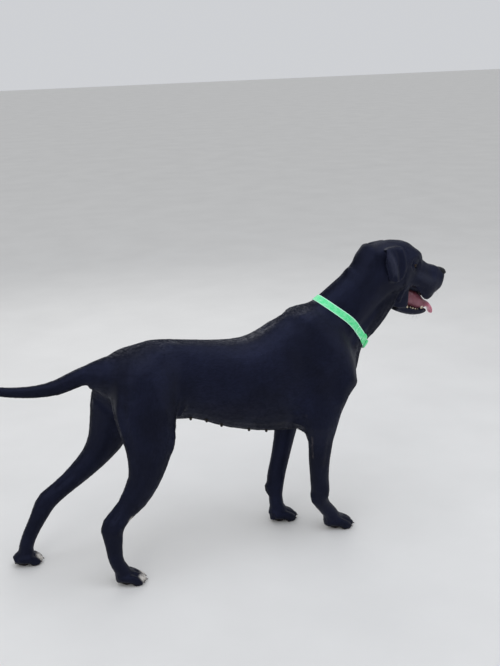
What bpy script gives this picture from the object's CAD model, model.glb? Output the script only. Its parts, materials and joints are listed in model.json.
"""A standing great dane as a life-size still model: short black coat, drop ears, open mouth, green collar.

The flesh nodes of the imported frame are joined, remeshed into one skin, smoothed and sculpted in code.
Eyes, nose leather, tongue, teeth, claws, collar and the short tufts of the coat are pieces of their own.
Places are millimetres from the midpoint between the hind feet, or from the stop of the head, and are
turned into the frame's metres by the two functions in_dog and in_head.
"""

import json
import logging
import math
from collections.abc import Callable
from dataclasses import dataclass
from enum import Enum

import bmesh
import bpy
import numpy as np
from mathutils import Matrix, Vector
from mathutils.bvhtree import BVHTree

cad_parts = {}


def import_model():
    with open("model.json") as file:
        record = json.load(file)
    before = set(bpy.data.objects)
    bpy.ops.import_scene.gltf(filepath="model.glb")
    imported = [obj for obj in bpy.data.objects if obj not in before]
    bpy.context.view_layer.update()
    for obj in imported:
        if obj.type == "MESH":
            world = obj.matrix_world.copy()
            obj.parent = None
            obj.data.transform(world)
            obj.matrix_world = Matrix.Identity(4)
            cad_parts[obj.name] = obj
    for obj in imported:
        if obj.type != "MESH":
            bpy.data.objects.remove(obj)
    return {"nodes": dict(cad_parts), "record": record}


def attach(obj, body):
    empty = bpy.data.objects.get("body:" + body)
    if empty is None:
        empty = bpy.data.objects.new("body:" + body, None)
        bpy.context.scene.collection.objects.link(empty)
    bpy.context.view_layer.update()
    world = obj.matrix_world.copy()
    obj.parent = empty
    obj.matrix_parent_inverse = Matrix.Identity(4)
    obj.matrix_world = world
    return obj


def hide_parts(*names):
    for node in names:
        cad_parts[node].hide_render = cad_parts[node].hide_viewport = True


LOG = logging.getLogger("great_dane")
MM = 0.001
SEED = 7
IMAGE_LONG_SIDE = 666
BODY = "root"

# The right hind sole, from the midpoint between the hind feet, ties the model's places to the frame.
HIND_SOLE = (118.88, -130.03)
# The stop, between the eyes, is the origin of the head frame, which is pitched down.
STOP = np.array([1172.0, 0.0, 868.0])
HEAD_PITCH = math.radians(22)
HEAD_AXES = np.array([
    [math.cos(HEAD_PITCH), 0.0, -math.sin(HEAD_PITCH)],
    [0.0, 1.0, 0.0],
    [math.sin(HEAD_PITCH), 0.0, math.cos(HEAD_PITCH)],
])
# The rules for the head hold only above this height in the dog frame.
HEAD_LEVEL = 640.0
EYE_CENTRE = (-25.0, 35.0, -25.0)
EYE_RADIUS = 12.5
UPWARD = np.array([0.0, 0.0, 1.0])
FORWARD = np.array([1.0, 0.0, 0.0])
FLESH_NODES = (
    "torso", "neck", "tail", "head", "lower_jaw", "ear_right", "ear_left",
    "foreleg_right", "foreleg_left", "hindleg_right", "hindleg_left",
    "forepaw_right", "forepaw_left", "hindpaw_right", "hindpaw_left",
)
# The nine directions that the lie of the hair is mixed from.
LIES = np.array([
    [1, 0, 0], [0, 0, 1], [0, 1, 0], [1, 0, 1], [1, 0, -1], [1, 1, 0], [1, -1, 0], [0, 1, 1], [0, 1, -1],
], float)
LIES /= np.linalg.norm(LIES, axis=1)[:, None]


class Side(Enum):
    """The dog's two sides, with the sign of y."""

    RIGHT = -1
    LEFT = 1


def origin_from(record: dict) -> np.ndarray:
    """Finds where the midpoint between the hind feet lies in the frame.

    Args:
        record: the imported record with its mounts.

    Returns:
        The point in millimetres.
    """
    sole = next(m for m in record["mounts"] if m["name"] == "sole_hindpaw_right")
    place = np.array(sole["pos_m"]) / MM
    return place - np.array([HIND_SOLE[0], HIND_SOLE[1], 0.0])


class Frame:
    """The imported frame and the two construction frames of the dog."""

    origin = np.zeros(3)
    nodes: dict = {}

    @classmethod
    def load(cls) -> None:
        """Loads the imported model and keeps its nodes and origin."""
        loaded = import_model()
        cls.nodes = loaded["nodes"]
        cls.origin = origin_from(loaded["record"])


def in_dog(points: np.ndarray | list | tuple) -> np.ndarray:
    """Turns places in the dog frame, in millimetres, into frame metres.

    Args:
        points: one point or rows of points.

    Returns:
        The points in metres.
    """
    return (np.asarray(points, float) + Frame.origin) * MM


def in_head(points: np.ndarray | list | tuple) -> np.ndarray:
    """Turns places in the head frame, in millimetres, into frame metres.

    Args:
        points: one point or rows of points, x to the nose, z up from the stop.

    Returns:
        The points in metres.
    """
    return in_dog(np.asarray(points, float) @ HEAD_AXES + STOP)


def to_dog(points: np.ndarray) -> np.ndarray:
    """Turns frame metres back into dog-frame millimetres."""
    return points / MM - Frame.origin


def to_head(points: np.ndarray) -> np.ndarray:
    """Turns frame metres back into head-frame millimetres."""
    return (to_dog(points) - STOP) @ HEAD_AXES.T


def folded(points: np.ndarray) -> np.ndarray:
    """Mirrors the places on the right side to the left side, so that y is never negative."""
    return points * np.array([1.0, 0.0, 1.0]) + np.abs(points) * np.array([0.0, 1.0, 0.0])


def smoothstep(value: np.ndarray, low: float, high: float) -> np.ndarray:
    """A soft step from 0 at low to 1 at high.

    Args:
        value: the numbers.
        low: where the step starts.
        high: where it ends.

    Returns:
        Numbers from 0 to 1.
    """
    t = np.clip((value - low) / (high - low), 0.0, 1.0)
    return t * t * (3 - 2 * t)


def linear(hex_colour: str) -> tuple[float, float, float, float]:
    """Turns an sRGB hex colour into linear red, green, blue and an alpha of 1.

    Args:
        hex_colour: six hex digits with a leading #.

    Returns:
        The linear colour.
    """
    parts = [int(hex_colour[i:i + 2], 16) / 255 for i in (1, 3, 5)]
    red, green, blue = (c / 12.92 if c <= 0.04045 else ((c + 0.055) / 1.055) ** 2.4 for c in parts)
    return (red, green, blue, 1.0)


# Curves and meshes

def between(u: float, first: float, last: float, start: np.ndarray, end: np.ndarray) -> np.ndarray:
    """Mixes the row that belongs to first with the row that belongs to last, for the place u between them."""
    return ((last - u) * start + (u - first) * end) / (last - first)


def spline(stations: list | tuple, count: int) -> np.ndarray:
    """A centripetal Catmull-Rom curve through rows of numbers.

    Args:
        stations: the rows to pass through; the first three numbers set the spacing.
        count: how many rows to return.

    Returns:
        The rows along the curve, evenly spread over its stretches.
    """
    rows = np.asarray(stations, float)
    rows = np.vstack([2 * rows[0] - rows[1], rows, 2 * rows[-1] - rows[-2]])
    found = []
    for t in np.linspace(0, len(stations) - 1, count):
        i = min(int(t), len(stations) - 2)
        p = rows[i:i + 4]
        steps = [max(np.linalg.norm(p[k + 1][:3] - p[k][:3]), 1e-6) ** 0.5 for k in range(3)]
        knots = np.cumsum([0.0] + steps)
        u = knots[1] + (t - i) * (knots[2] - knots[1])
        a = [between(u, knots[k], knots[k + 1], p[k], p[k + 1]) for k in range(3)]
        b = [between(u, knots[k], knots[k + 2], a[k], a[k + 1]) for k in range(2)]
        found.append(between(u, knots[1], knots[2], b[0], b[1]))
    return np.array(found)


def ring_faces(rings: int, around: int) -> list[tuple[int, ...]]:
    """The quads between rings of points, with both ends closed by one face each.

    Args:
        rings: how many rings there are.
        around: how many points each ring has.

    Returns:
        The faces.
    """
    faces = [
        (r * around + k, r * around + (k + 1) % around,
         (r + 1) * around + (k + 1) % around, (r + 1) * around + k)
        for r in range(rings - 1) for k in range(around)
    ]
    faces.append(tuple(reversed(range(around))))
    faces.append(tuple((rings - 1) * around + k for k in range(around)))
    return faces


def new_object(name: str, points: np.ndarray, faces: list, materials: list,
               smooth: bool = True) -> bpy.types.Object:
    """Makes a mesh object.

    Args:
        name: the piece's name.
        points: its points in metres.
        faces: its faces as tuples of indices.
        materials: its materials in slot order.
        smooth: whether it is shaded smooth.

    Returns:
        The object, linked to the scene.
    """
    mesh = bpy.data.meshes.new(name)
    mesh.from_pydata([tuple(p) for p in points], [], faces)
    if smooth:
        mesh.shade_smooth()
    mesh.validate()
    piece = bpy.data.objects.new(name, mesh)
    bpy.context.scene.collection.objects.link(piece)
    for material in materials:
        mesh.materials.append(material)
    return piece


def apply_modifiers(piece: bpy.types.Object) -> None:
    """Replaces an object's mesh with the mesh its modifiers make.

    Args:
        piece: the object.
    """
    graph = bpy.context.evaluated_depsgraph_get()
    made = bpy.data.meshes.new_from_object(piece.evaluated_get(graph))
    old = piece.data
    piece.modifiers.clear()
    piece.data = made
    bpy.data.meshes.remove(old)


def read_rows(items: bpy.types.bpy_prop_collection, name: str, width: int = 3,
              kind: type = float) -> np.ndarray:
    """Reads one property of every item of a collection.

    Args:
        items: the collection.
        name: the property's name.
        width: how many numbers each item holds.
        kind: the kind of number.

    Returns:
        A row for each item.
    """
    flat = np.empty(len(items) * width, dtype=kind)
    items.foreach_get(name, flat)
    return flat.reshape(-1, width)


def points_of(mesh: bpy.types.Mesh) -> np.ndarray:
    """The mesh's points as rows."""
    return read_rows(mesh.vertices, "co")


def normals_of(mesh: bpy.types.Mesh) -> np.ndarray:
    """The mesh's point normals as rows."""
    return read_rows(mesh.vertex_normals, "vector")


def set_points(mesh: bpy.types.Mesh, points: np.ndarray) -> None:
    """Moves the mesh's points to the given rows."""
    mesh.vertices.foreach_set("co", points.ravel())
    mesh.update()


def tree_of(piece: bpy.types.Object) -> BVHTree:
    """Makes a search tree of an object's faces.

    Args:
        piece: the object.

    Returns:
        The tree, in metres.
    """
    joined = bmesh.new()
    joined.from_mesh(piece.data)
    tree = BVHTree.FromBMesh(joined)
    joined.free()
    return tree


def set_attribute(mesh: bpy.types.Mesh, name: str, values: np.ndarray) -> None:
    """Stores one number or one colour for each point, for the materials to read.

    Args:
        mesh: the mesh.
        name: the attribute's name.
        values: a row of numbers, or rows of three.
    """
    if values.ndim == 1:
        mesh.attributes.new(name, "FLOAT", "POINT").data.foreach_set("value", values.astype(np.float32))
        return
    rows = np.ones((len(values), 4), np.float32)
    rows[:, :3] = values
    mesh.attributes.new(name, "FLOAT_COLOR", "POINT").data.foreach_set("color", rows.ravel())


class Relaxer:
    """Moves the values of neighbouring points together along a mesh's edges."""

    def __init__(self, mesh: bpy.types.Mesh) -> None:
        """Reads the mesh's edges."""
        self.edges = read_rows(mesh.edges, "vertices", 2, np.int64)
        self.count = len(mesh.vertices)
        ends = self.edges.ravel()
        self.valence = np.maximum(np.bincount(ends, minlength=self.count), 1)

    def neighbours(self, values: np.ndarray) -> np.ndarray:
        """Works out the mean of each point's neighbours.

        Args:
            values: rows of numbers, one for each point.

        Returns:
            The mean rows.
        """
        a, b = self.edges[:, 0], self.edges[:, 1]
        columns = []
        for k in range(values.shape[1]):
            column = values[:, k]
            total = np.bincount(a, column[b], self.count) + np.bincount(b, column[a], self.count)
            columns.append(total / self.valence)
        return np.stack(columns, 1)

    def relax(self, values: np.ndarray, steps: int, strength: np.ndarray | float) -> np.ndarray:
        """Relaxes rows of values.

        Args:
            values: rows of numbers, one for each point.
            steps: how many passes.
            strength: how far a point goes to its neighbours' mean in a pass, 0 to 1.

        Returns:
            The relaxed rows.
        """
        share = strength[:, None] if isinstance(strength, np.ndarray) else strength
        for _ in range(steps):
            values = values + share * (self.neighbours(values) - values)
        return values


# Finishes

def connect(tree: bpy.types.NodeTree, node: bpy.types.Node, links: dict) -> None:
    """Links sources to a node's inputs.

    Args:
        tree: the material's node tree.
        node: the node.
        links: output sockets, or nodes whose first output is meant, by input name or number.
    """
    for key, source in links.items():
        socket = source.outputs[0] if isinstance(source, bpy.types.Node) else source
        tree.links.new(socket, node.inputs[key])


def add(tree: bpy.types.NodeTree, kind: str, settings: dict | None = None,
        links: dict | None = None) -> bpy.types.Node:
    """Adds a node with its settings and links.

    Args:
        tree: the material's node tree.
        kind: the shader node's type.
        settings: values by input name, input number or property name; "stops" holds a colour ramp's
            places and colours.
        links: what is linked to it, as for connect.

    Returns:
        The node.
    """
    node = tree.nodes.new("ShaderNode" + kind)
    for key, value in (settings or {}).items():
        if key == "stops":
            while len(node.color_ramp.elements) < len(value):
                node.color_ramp.elements.new(1.0)
            for element, (place, colour) in zip(node.color_ramp.elements, value):
                element.position = place
                element.color = colour
        elif isinstance(key, int) or key in node.inputs:
            node.inputs[key].default_value = value
        else:
            setattr(node, key, value)
    connect(tree, node, links or {})
    return node


def start_material(name: str,
                   settings: dict) -> tuple[bpy.types.Material, bpy.types.NodeTree, bpy.types.Node]:
    """Makes a material with one principled shader.

    Args:
        name: the material's name.
        settings: the shader's values by input name.

    Returns:
        The material, its tree and its shader.
    """
    material = bpy.data.materials.new(name)
    material.use_nodes = True
    tree = material.node_tree
    tree.nodes.clear()
    shader = add(tree, "BsdfPrincipled", settings)
    add(tree, "OutputMaterial", None, {"Surface": shader.outputs[0]})
    return material, tree, shader


def greys(low: float, dark: float, high: float, light: float) -> list[tuple]:
    """The stops of a ramp from one grey at low to another at high."""
    return [(low, (dark, dark, dark, 1)), (high, (light, light, light, 1))]


@dataclass(frozen=True)
class ShortCoat:
    """Short flat hair on skin: dark hair with a cool gloss, warm where it thins, white at some toe ends."""

    name: str = "short_coat"
    black: str = "#0A0B13"
    cool: str = "#131626"
    warm: str = "#191516"
    white: str = "#CFCAC2"
    callus: str = "#55504E"
    bloom: str = "#31333F"
    hair_length: float = 16.0
    clump_width: float = 1.8
    roughness: float = 0.46

    def hair_height(self, tree: bpy.types.NodeTree) -> tuple[bpy.types.NodeSocket, bpy.types.NodeSocket]:
        """Builds the height of the lying hair, stretched along nine lies that the skin mixes.

        Args:
            tree: the material's node tree.

        Returns:
            The place on the object and the height.
        """
        place = add(tree, "TexCoord").outputs["Object"]
        along = 1 / (self.hair_length * MM)
        across = 1 / (self.clump_width * MM)
        total = None
        for number, way in enumerate(LIES):
            if number % 3 == 0:
                mask = ("lie_a", "lie_b", "lie_c")[number // 3]
                mixed = add(tree, "Attribute", {"attribute_name": mask})
                weights = add(tree, "SeparateColor", None, {0: mixed.outputs["Color"]})
            turn = Vector(way).to_track_quat("X", "Z").inverted().to_euler("XYZ")
            turned = add(tree, "Mapping", {"Rotation": tuple(turn)}, {"Vector": place})
            stretched = add(tree, "Mapping", {"Scale": (along, across, across)}, {"Vector": turned})
            strands = add(tree, "TexNoise", {"Scale": 1.0, "Detail": 2.0, "Roughness": 0.6},
                          {"Vector": stretched})
            part = add(tree, "Math", {"operation": "MULTIPLY"},
                       {0: strands, 1: weights.outputs[number % 3]}).outputs[0]
            if total is None:
                total = part
            else:
                total = add(tree, "Math", {"operation": "ADD"}, {0: total, 1: part}).outputs[0]
        return place, total

    def marked(self, tree: bpy.types.NodeTree, base: bpy.types.NodeSocket,
               height: bpy.types.NodeSocket) -> bpy.types.NodeSocket:
        """Lays the markings over the coat, each with an edge that the hair makes ragged.

        Args:
            tree: the material's node tree.
            base: the colour of the unmarked coat.
            height: the height of the lying hair.

        Returns:
            The colour with the markings.
        """
        masks = {"bloom": self.bloom, "warm": self.warm, "callus": self.callus, "white": self.white}
        for mask, colour in masks.items():
            share = add(tree, "Attribute", {"attribute_name": mask}).outputs["Fac"]
            ragged = add(tree, "Math", {"operation": "MULTIPLY_ADD", 1: 0.7, 2: -0.35}, {0: height})
            summed = add(tree, "Math", {"operation": "ADD"}, {0: share, 1: ragged})
            shown = add(tree, "MapRange", {"From Min": 0.25, "From Max": 0.75}, {"Value": summed})
            raised = add(tree, "Math", {"operation": "MULTIPLY", 1: 8.0}, {0: share})
            felt = add(tree, "Math", {"operation": "MINIMUM", 1: 1.0}, {0: raised})
            gate = add(tree, "Math", {"operation": "MULTIPLY"}, {0: shown, 1: felt})
            base = add(tree, "Mix", {"data_type": "RGBA", 7: linear(colour)}, {0: gate, 6: base}).outputs[2]
        return base

    def build(self) -> bpy.types.Material:
        """Builds the material.

        Returns:
            The material.
        """
        material, tree, shader = start_material(self.name, {
            "Specular IOR Level": 0.24, "Specular Tint": linear("#B6C1FF"),
            "Sheen Weight": 0.05, "Sheen Roughness": 0.4, "Sheen Tint": linear("#8E9BB8"),
        })
        place, height = self.hair_height(tree)
        broad = add(tree, "TexNoise", {"Scale": 9.0, "Detail": 3.0}, {"Vector": place})
        blacks = [(0.35, linear(self.black)), (0.75, linear(self.cool))]
        base = add(tree, "ValToRGB", {"stops": blacks}, {0: broad}).outputs[0]
        tone = add(tree, "Attribute", {"attribute_name": "tone"}).outputs["Fac"]
        for value, stops in ((height, greys(0.3, 0.62, 0.7, 1.35)), (tone, greys(0.0, 0.84, 1.0, 1.16))):
            shade = add(tree, "ValToRGB", {"stops": stops}, {0: value}).outputs[0]
            base = add(tree, "Mix", {"data_type": "RGBA", "blend_type": "MULTIPLY", 0: 1.0},
                       {6: base, 7: shade}).outputs[2]
        base = self.marked(tree, base, height)
        bump = add(tree, "Bump", {"Strength": 0.35, "Distance": 0.6 * MM}, {"Height": height})
        rough = add(tree, "MapRange",
                    {"To Min": self.roughness - 0.08, "To Max": self.roughness + 0.12}, {"Value": height})
        connect(tree, shader, {"Base Color": base, "Roughness": rough, "Normal": bump})
        return material


@dataclass(frozen=True)
class WetFlesh:
    """Wet mucous skin of the mouth or tongue: a soft red with a thin wet gloss over fine bumps."""

    name: str
    deep: str
    light: str
    grain: float = 1.2
    roughness: float = 0.32
    bump: float = 0.25
    wet: float = 0.35

    def build(self) -> bpy.types.Material:
        """Builds the material; the shade attribute darkens it into the mouth.

        Returns:
            The material.
        """
        material, tree, shader = start_material(self.name, {
            "Roughness": self.roughness, "Specular IOR Level": 0.3,
            "Subsurface Weight": 0.15, "Subsurface Radius": (0.006, 0.002, 0.001),
            "Coat Weight": self.wet, "Coat Roughness": 0.15,
        })
        place = add(tree, "TexCoord").outputs["Object"]
        blotch = add(tree, "TexNoise", {"Scale": 45.0, "Detail": 4.0}, {"Vector": place})
        stops = [(0.3, linear(self.deep)), (0.7, linear(self.light))]
        colour = add(tree, "ValToRGB", {"stops": stops}, {0: blotch}).outputs[0]
        shade = add(tree, "Attribute", {"attribute_name": "shade"}).outputs["Fac"]
        dark = add(tree, "Mix", {"data_type": "RGBA", 7: linear("#32141A")}, {0: shade, 6: colour})
        bumps = add(tree, "TexVoronoi", {"Scale": 1 / (self.grain * MM)}, {"Vector": place})
        bump = add(tree, "Bump", {"Strength": self.bump, "Distance": 0.3 * MM},
                   {"Height": bumps.outputs["Distance"]})
        connect(tree, shader, {"Base Color": dark.outputs[2], "Normal": bump})
        return material


@dataclass(frozen=True)
class PebbledLeather:
    """Bare black skin of the nose and pads: small polygonal pebbles, moist or dry."""

    name: str
    dark: str
    light: str
    pebble: float
    roughness: float
    depth: float

    def build(self) -> bpy.types.Material:
        """Builds the material.

        Returns:
            The material.
        """
        material, tree, shader = start_material(self.name, {
            "Roughness": self.roughness, "Specular IOR Level": 0.18,
        })
        place = add(tree, "TexCoord").outputs["Object"]
        cells = add(tree, "TexVoronoi",
                    {"feature": "DISTANCE_TO_EDGE", "Scale": 1 / (self.pebble * MM)}, {"Vector": place})
        stops = [(0.0, linear(self.dark)), (0.35, linear(self.light))]
        colour = add(tree, "ValToRGB", {"stops": stops}, {0: cells}).outputs[0]
        height = add(tree, "MapRange", {"From Max": 0.3}, {"Value": cells})
        bump = add(tree, "Bump", {"Strength": 0.5, "Distance": self.depth * MM}, {"Height": height})
        connect(tree, shader, {"Base Color": colour, "Normal": bump})
        return material


@dataclass(frozen=True)
class WetEye:
    """Eyeball under a clear wet cornea: black pupil, dark brown iris with fine spokes, dark rim."""

    name: str = "wet_eye"
    pupil: float = 3.8
    iris: float = 8.6

    def build(self) -> bpy.types.Material:
        """Builds the material from the distance to the optical axis, held in millimetres.

        Returns:
            The material.
        """
        material, tree, shader = start_material(self.name, {
            "Roughness": 0.15, "Specular IOR Level": 0.12, "Coat Weight": 0.16, "Coat Roughness": 0.02,
        })
        place = add(tree, "TexCoord").outputs["Object"]
        out = add(tree, "Attribute", {"attribute_name": "axis_distance"}).outputs["Fac"]
        share = add(tree, "Math", {"operation": "DIVIDE", 1: EYE_RADIUS}, {0: out})
        pupil, iris = self.pupil / EYE_RADIUS, self.iris / EYE_RADIUS
        stops = [
            (0.0, linear("#050404")), (pupil, linear("#050404")), (pupil + 0.03, linear("#22130A")),
            (iris - 0.08, linear("#2C1A0E")), (iris, linear("#0A0605")), (iris + 0.07, linear("#241B19")),
            (1.0, linear("#33221F")),
        ]
        rings = add(tree, "ValToRGB", {"stops": stops}, {0: share}).outputs[0]
        spokes = add(tree, "TexNoise", {"Scale": 900.0, "Detail": 3.0}, {"Vector": place})
        fleck = add(tree, "ValToRGB", {"stops": greys(0.3, 0.6, 0.7, 1.3)}, {0: spokes}).outputs[0]
        colour = add(tree, "Mix", {"data_type": "RGBA", "blend_type": "MULTIPLY", 0: 1.0},
                     {6: rings, 7: fleck})
        connect(tree, shader, {"Base Color": colour.outputs[2]})
        return material


@dataclass(frozen=True)
class HornAndIvory:
    """Claw horn or tooth enamel: a colour that changes along the growth, with fine lengthwise streaks."""

    name: str
    root: str
    tip: str
    roughness: float
    streak: float = 0.6

    def build(self) -> bpy.types.Material:
        """Builds the material; the growth attribute runs from 0 at the root to 1 at the tip.

        Returns:
            The material.
        """
        material, tree, shader = start_material(self.name, {"Roughness": self.roughness})
        place = add(tree, "TexCoord").outputs["Object"]
        growth = add(tree, "Attribute", {"attribute_name": "growth"}).outputs["Fac"]
        stops = [(0.1, linear(self.root)), (0.9, linear(self.tip))]
        colour = add(tree, "ValToRGB", {"stops": stops}, {0: growth}).outputs[0]
        streaks = add(tree, "TexNoise", {"Scale": 1 / (self.streak * MM), "Detail": 2.0}, {"Vector": place})
        tint = add(tree, "ValToRGB", {"stops": greys(0.3, 0.8, 0.7, 1.1)}, {0: streaks}).outputs[0]
        mixed = add(tree, "Mix", {"data_type": "RGBA", "blend_type": "MULTIPLY", 0: 1.0},
                    {6: colour, 7: tint})
        bump = add(tree, "Bump", {"Strength": 0.2, "Distance": 0.1 * MM}, {"Height": streaks})
        connect(tree, shader, {"Base Color": mixed.outputs[2], "Normal": bump})
        return material


@dataclass(frozen=True)
class WovenNylon:
    """Flat woven nylon webbing, bright green: diagonal yarn floats 1.7 mm apart and a paler woven edge."""

    name: str = "woven_nylon"
    body: str = "#58F7A0"
    valley: str = "#2FAE66"
    edge: str = "#C4FFDF"
    yarn: float = 1.7

    def build(self) -> bpy.types.Material:
        """Builds the material on the band's own map, in millimetres around and across.

        Returns:
            The material.
        """
        material, tree, shader = start_material(self.name, {"Roughness": 0.62, "Sheen Weight": 0.3})
        place = add(tree, "UVMap", {"uv_map": "weave"}).outputs[0]
        parts = add(tree, "SeparateXYZ", None, {0: place})
        waves = []
        for slant in ("ADD", "SUBTRACT"):
            diagonal = add(tree, "Math", {"operation": slant}, {0: parts.outputs[0], 1: parts.outputs[1]})
            phase = add(tree, "Math", {"operation": "MULTIPLY", 1: 2 * math.pi / self.yarn}, {0: diagonal})
            waves.append(add(tree, "Math", {"operation": "SINE"}, {0: phase}).outputs[0])
        weave = add(tree, "Math", {"operation": "MULTIPLY"}, {0: waves[0], 1: waves[1]})
        height = add(tree, "MapRange", {"From Min": -1.0}, {"Value": weave})
        stops = [(0.1, linear(self.valley)), (0.55, linear(self.body))]
        colour = add(tree, "ValToRGB", {"stops": stops}, {0: height}).outputs[0]
        wear = add(tree, "TexNoise", {"Scale": 0.08, "Detail": 3.0}, {"Vector": place})
        faded = add(tree, "MapRange", {"From Min": 0.4, "From Max": 0.8, "To Max": 0.45}, {"Value": wear})
        rim = add(tree, "Attribute", {"attribute_name": "rim"}).outputs["Fac"]
        share = add(tree, "Math", {"operation": "MAXIMUM"}, {0: rim, 1: faded})
        colour = add(tree, "Mix", {"data_type": "RGBA", 7: linear(self.edge)}, {0: share, 6: colour})
        bump = add(tree, "Bump", {"Strength": 0.6, "Distance": 0.3 * MM}, {"Height": height})
        connect(tree, shader, {"Base Color": colour.outputs[2], "Normal": bump})
        return material


@dataclass(frozen=True)
class MouldedAcetal:
    """Injection moulded acetal of the buckle and slide: even green, faint mould texture, paler worn spots."""

    name: str = "moulded_acetal"
    body: str = "#4BE38C"
    worn: str = "#A6F5C4"

    def build(self) -> bpy.types.Material:
        """Builds the material.

        Returns:
            The material.
        """
        material, tree, shader = start_material(self.name, {"Roughness": 0.36})
        place = add(tree, "TexCoord").outputs["Object"]
        grain = add(tree, "TexNoise", {"Scale": 900.0, "Detail": 2.0}, {"Vector": place})
        patch = add(tree, "TexNoise", {"Scale": 60.0, "Detail": 3.0}, {"Vector": place})
        stops = [(0.45, linear(self.body)), (0.85, linear(self.worn))]
        colour = add(tree, "ValToRGB", {"stops": stops}, {0: patch}).outputs[0]
        bump = add(tree, "Bump", {"Strength": 0.15, "Distance": 0.1 * MM}, {"Height": grain})
        connect(tree, shader, {"Base Color": colour, "Normal": bump})
        return material


@dataclass(frozen=True)
class PaleFloor:
    """Pale matt studio floor with a very faint mottling."""

    name: str = "pale_floor"

    def build(self) -> bpy.types.Material:
        """Builds the material.

        Returns:
            The material.
        """
        material, tree, shader = start_material(self.name, {"Roughness": 0.9})
        place = add(tree, "TexCoord").outputs["Object"]
        mottle = add(tree, "TexNoise", {"Scale": 3.0, "Detail": 5.0}, {"Vector": place})
        stops = [(0.3, linear("#DFDEDB")), (0.7, linear("#E4E3E0"))]
        colour = add(tree, "ValToRGB", {"stops": stops}, {0: mottle}).outputs[0]
        connect(tree, shader, {"Base Color": colour})
        return material


class Finishes:
    """All the finishes, built once."""

    def __init__(self) -> None:
        """Builds every material."""
        self.coat = ShortCoat().build()
        self.mouth = WetFlesh("mouth_lining", "#4A2029", "#7A4350", 1.6, 0.5, 0.2, 0.1).build()
        self.tongue = WetFlesh("tongue_flesh", "#B65C70", "#DC93A6", 0.9, 0.32, 0.35).build()
        self.nose = PebbledLeather("nose_leather", "#06070B", "#12141D", 1.3, 0.36, 0.3).build()
        self.pad = PebbledLeather("pad_leather", "#15120F", "#2E2825", 1.6, 0.75, 0.5).build()
        self.eye = WetEye().build()
        self.claw = HornAndIvory("claw_horn", "#14110F", "#4A4038", 0.35).build()
        self.tooth = HornAndIvory("tooth_enamel", "#BFB296", "#E6E0D2", 0.22).build()
        self.webbing = WovenNylon().build()
        self.acetal = MouldedAcetal().build()
        self.floor = PaleFloor().build()


# The skin

@dataclass(frozen=True)
class Stroke:
    """One stroke along a line on the skin, in millimetres: a ridge, or a groove where height is negative."""

    line: tuple
    radius: float
    height: float
    head: bool = False
    mirrored: bool = True

    def lines(self) -> list[np.ndarray]:
        """The stroke's lines in metres, one for each side where it is mirrored.

        Returns:
            A list of lines.
        """
        place = in_head if self.head else in_dog
        line = np.array(self.line, float)
        found = [place(line)]
        if self.mirrored:
            found.append(place(line * np.array([1.0, -1.0, 1.0])))
        return found


def distance_to_line(points: np.ndarray, line: np.ndarray) -> np.ndarray:
    """The distance of each point to a polyline of one or more points.

    Args:
        points: rows of points.
        line: rows of the polyline.

    Returns:
        One distance for each point.
    """
    if len(line) == 1:
        return np.linalg.norm(points - line[0], axis=1)
    best = np.full(len(points), 1e9)
    for a, b in zip(line[:-1], line[1:]):
        step = b - a
        t = np.clip(((points - a) @ step) / max(step @ step, 1e-12), 0.0, 1.0)
        best = np.minimum(best, np.linalg.norm(points - a - t[:, None] * step, axis=1))
    return best


RIB_STEP = 42


def rib(x: float) -> Stroke:
    """The low ridge of the rib whose upper end is at x."""
    return Stroke(((x, 84, 640), (x - 18, 118, 560), (x - 8, 112, 480), (x + 24, 84, 425)), 9, 0.6)


BODY_STROKES = (
    # shoulder blade and its spine, the hollows before and behind it
    Stroke(((735, 42, 745), (790, 84, 668), (850, 92, 585)), 20, 3.0),
    Stroke(((700, 60, 735), (716, 104, 660), (722, 116, 575), (728, 118, 500)), 24, -3.5),
    Stroke(((868, 66, 742), (884, 76, 672), (892, 72, 610)), 20, -4.0),
    Stroke(((742, 106, 600), (778, 110, 540), (812, 108, 478)), 14, -2.6),
    Stroke(((870, 86, 600), (866, 96, 540), (842, 104, 480)), 22, 4.0),
    # breastbone point and the two chest muscles
    Stroke(((912, 0, 565), (915, 0, 540)), 24, 5.0, mirrored=False),
    Stroke(((895, 34, 520), (872, 46, 460)), 26, 5.0),
    Stroke(((912, 0, 520), (880, 0, 440), (830, 0, 395)), 12, -5.0, mirrored=False),
    # ribs
    *(rib(640 - RIB_STEP * i) for i in range(6)),
    # hollow of the flank, hip bone, loin muscles and the line of the back
    Stroke(((345, 84, 640), (322, 88, 580)), 36, -6.0),
    Stroke(((286, 66, 688),), 26, 5.5),
    Stroke(((340, 34, 702), (450, 40, 693), (560, 38, 684), (660, 34, 706)), 18, 2.4),
    Stroke(((320, 0, 706), (450, 0, 700), (560, 0, 690), (650, 0, 706)), 9, -2.2, mirrored=False),
    Stroke(((128, 48, 628),), 22, 5.0),
    # fold of skin from the flank to the stifle
    Stroke(((322, 84, 545), (304, 98, 505), (296, 104, 468)), 10, 4.0),
    Stroke(((300, 94, 560), (270, 104, 538), (240, 112, 520)), 9, -2.4),
    # line of the belly and the keel of the chest
    Stroke(((560, 0, 385), (680, 0, 358), (780, 0, 372)), 14, 3.0, mirrored=False),
    # neck: groove of the jugular and the long muscle above it
    Stroke(((900, 72, 640), (948, 70, 690), (1000, 62, 740), (1050, 52, 770)), 14, -3.6),
    Stroke(((930, 74, 735), (985, 68, 790), (1020, 62, 835)), 20, 3.0),
    # crease of the arm above the elbow
    Stroke(((700, 108, 452), (722, 112, 424), (735, 110, 405)), 10, -3.0),
)

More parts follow.
